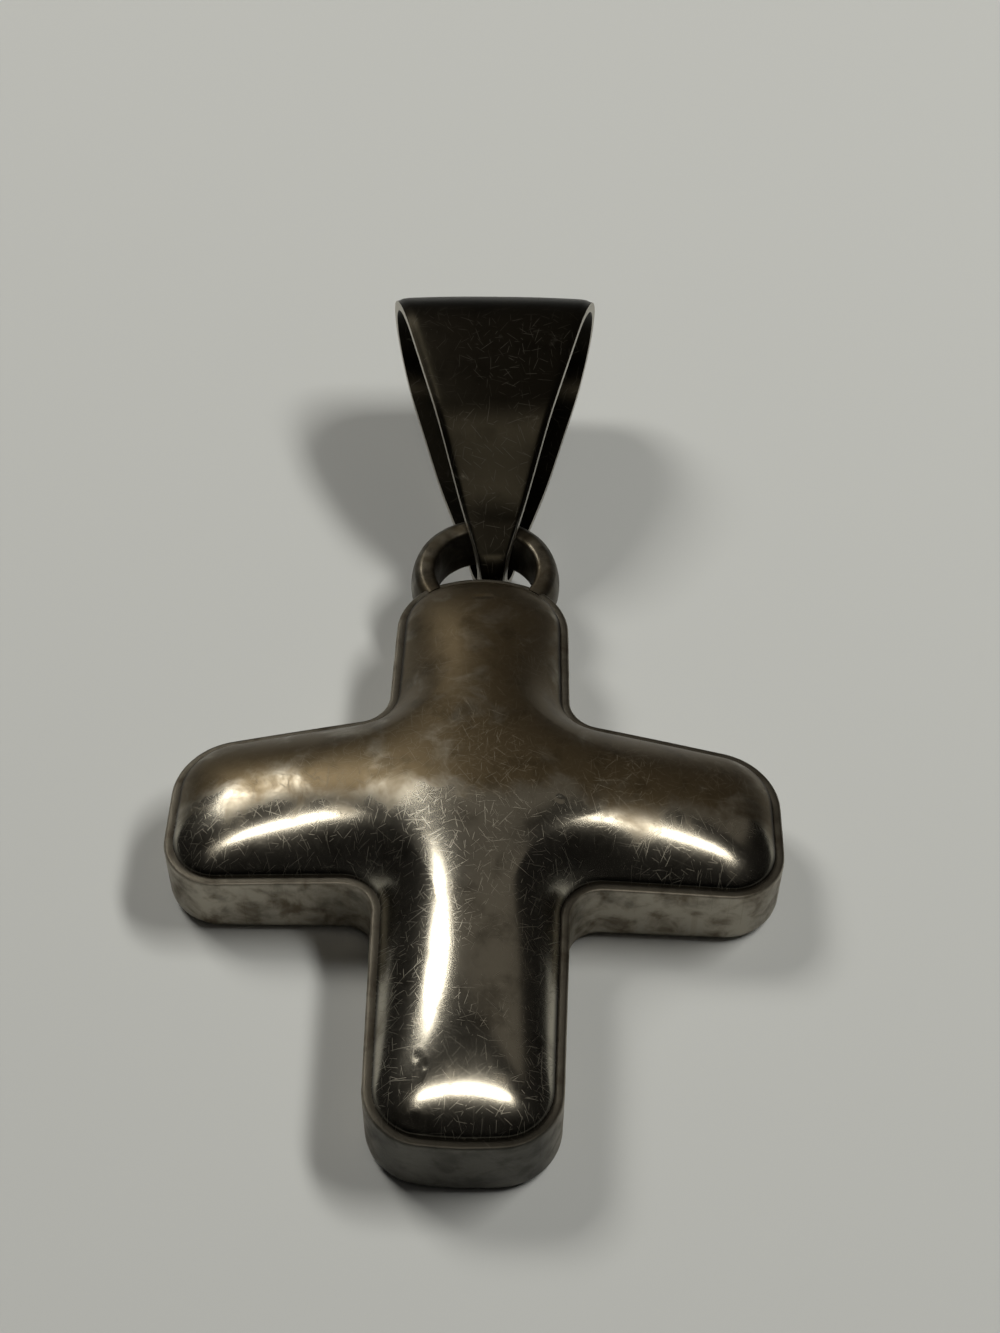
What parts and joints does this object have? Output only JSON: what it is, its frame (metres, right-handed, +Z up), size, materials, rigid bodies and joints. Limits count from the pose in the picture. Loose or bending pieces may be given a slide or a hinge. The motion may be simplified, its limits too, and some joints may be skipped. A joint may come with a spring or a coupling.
{
  "type": "cross pendant",
  "caption": "Hollow puffed cross pendant on a shallow tray, with a loop soldered to its head and a tapered folded strap bail that swings on the loop.",
  "frame": {"origin": "on the surface that the pendant lies on, under the middle of its whole length with the bail laid out", "axes": "+X to the right arm, +Y from the foot to the bail, +Z up out of the puffed front"},
  "size_m": [0.031, 0.0548, 0.0103],
  "materials": {
    "cross_silver": "sterling silver, polished front with fine scratches and brown tarnish, matt mottled side walls",
    "bail_silver": "sterling silver, polished, scratched and darkly tarnished, with bright cut edges"
  },
  "bodies": {
    "pendant_body": {"cross": "cross_silver"},
    "bail_body": {"bail": "bail_silver"}
  },
  "joints": [
    {"name": "bail_swing", "type": "hinge", "parent": "pendant_body", "child": "bail_body", "pos_m": [0, 0.0114, 0.00275], "axis": [1, 0, 0], "range_deg": [-110, 90]}
  ]
}
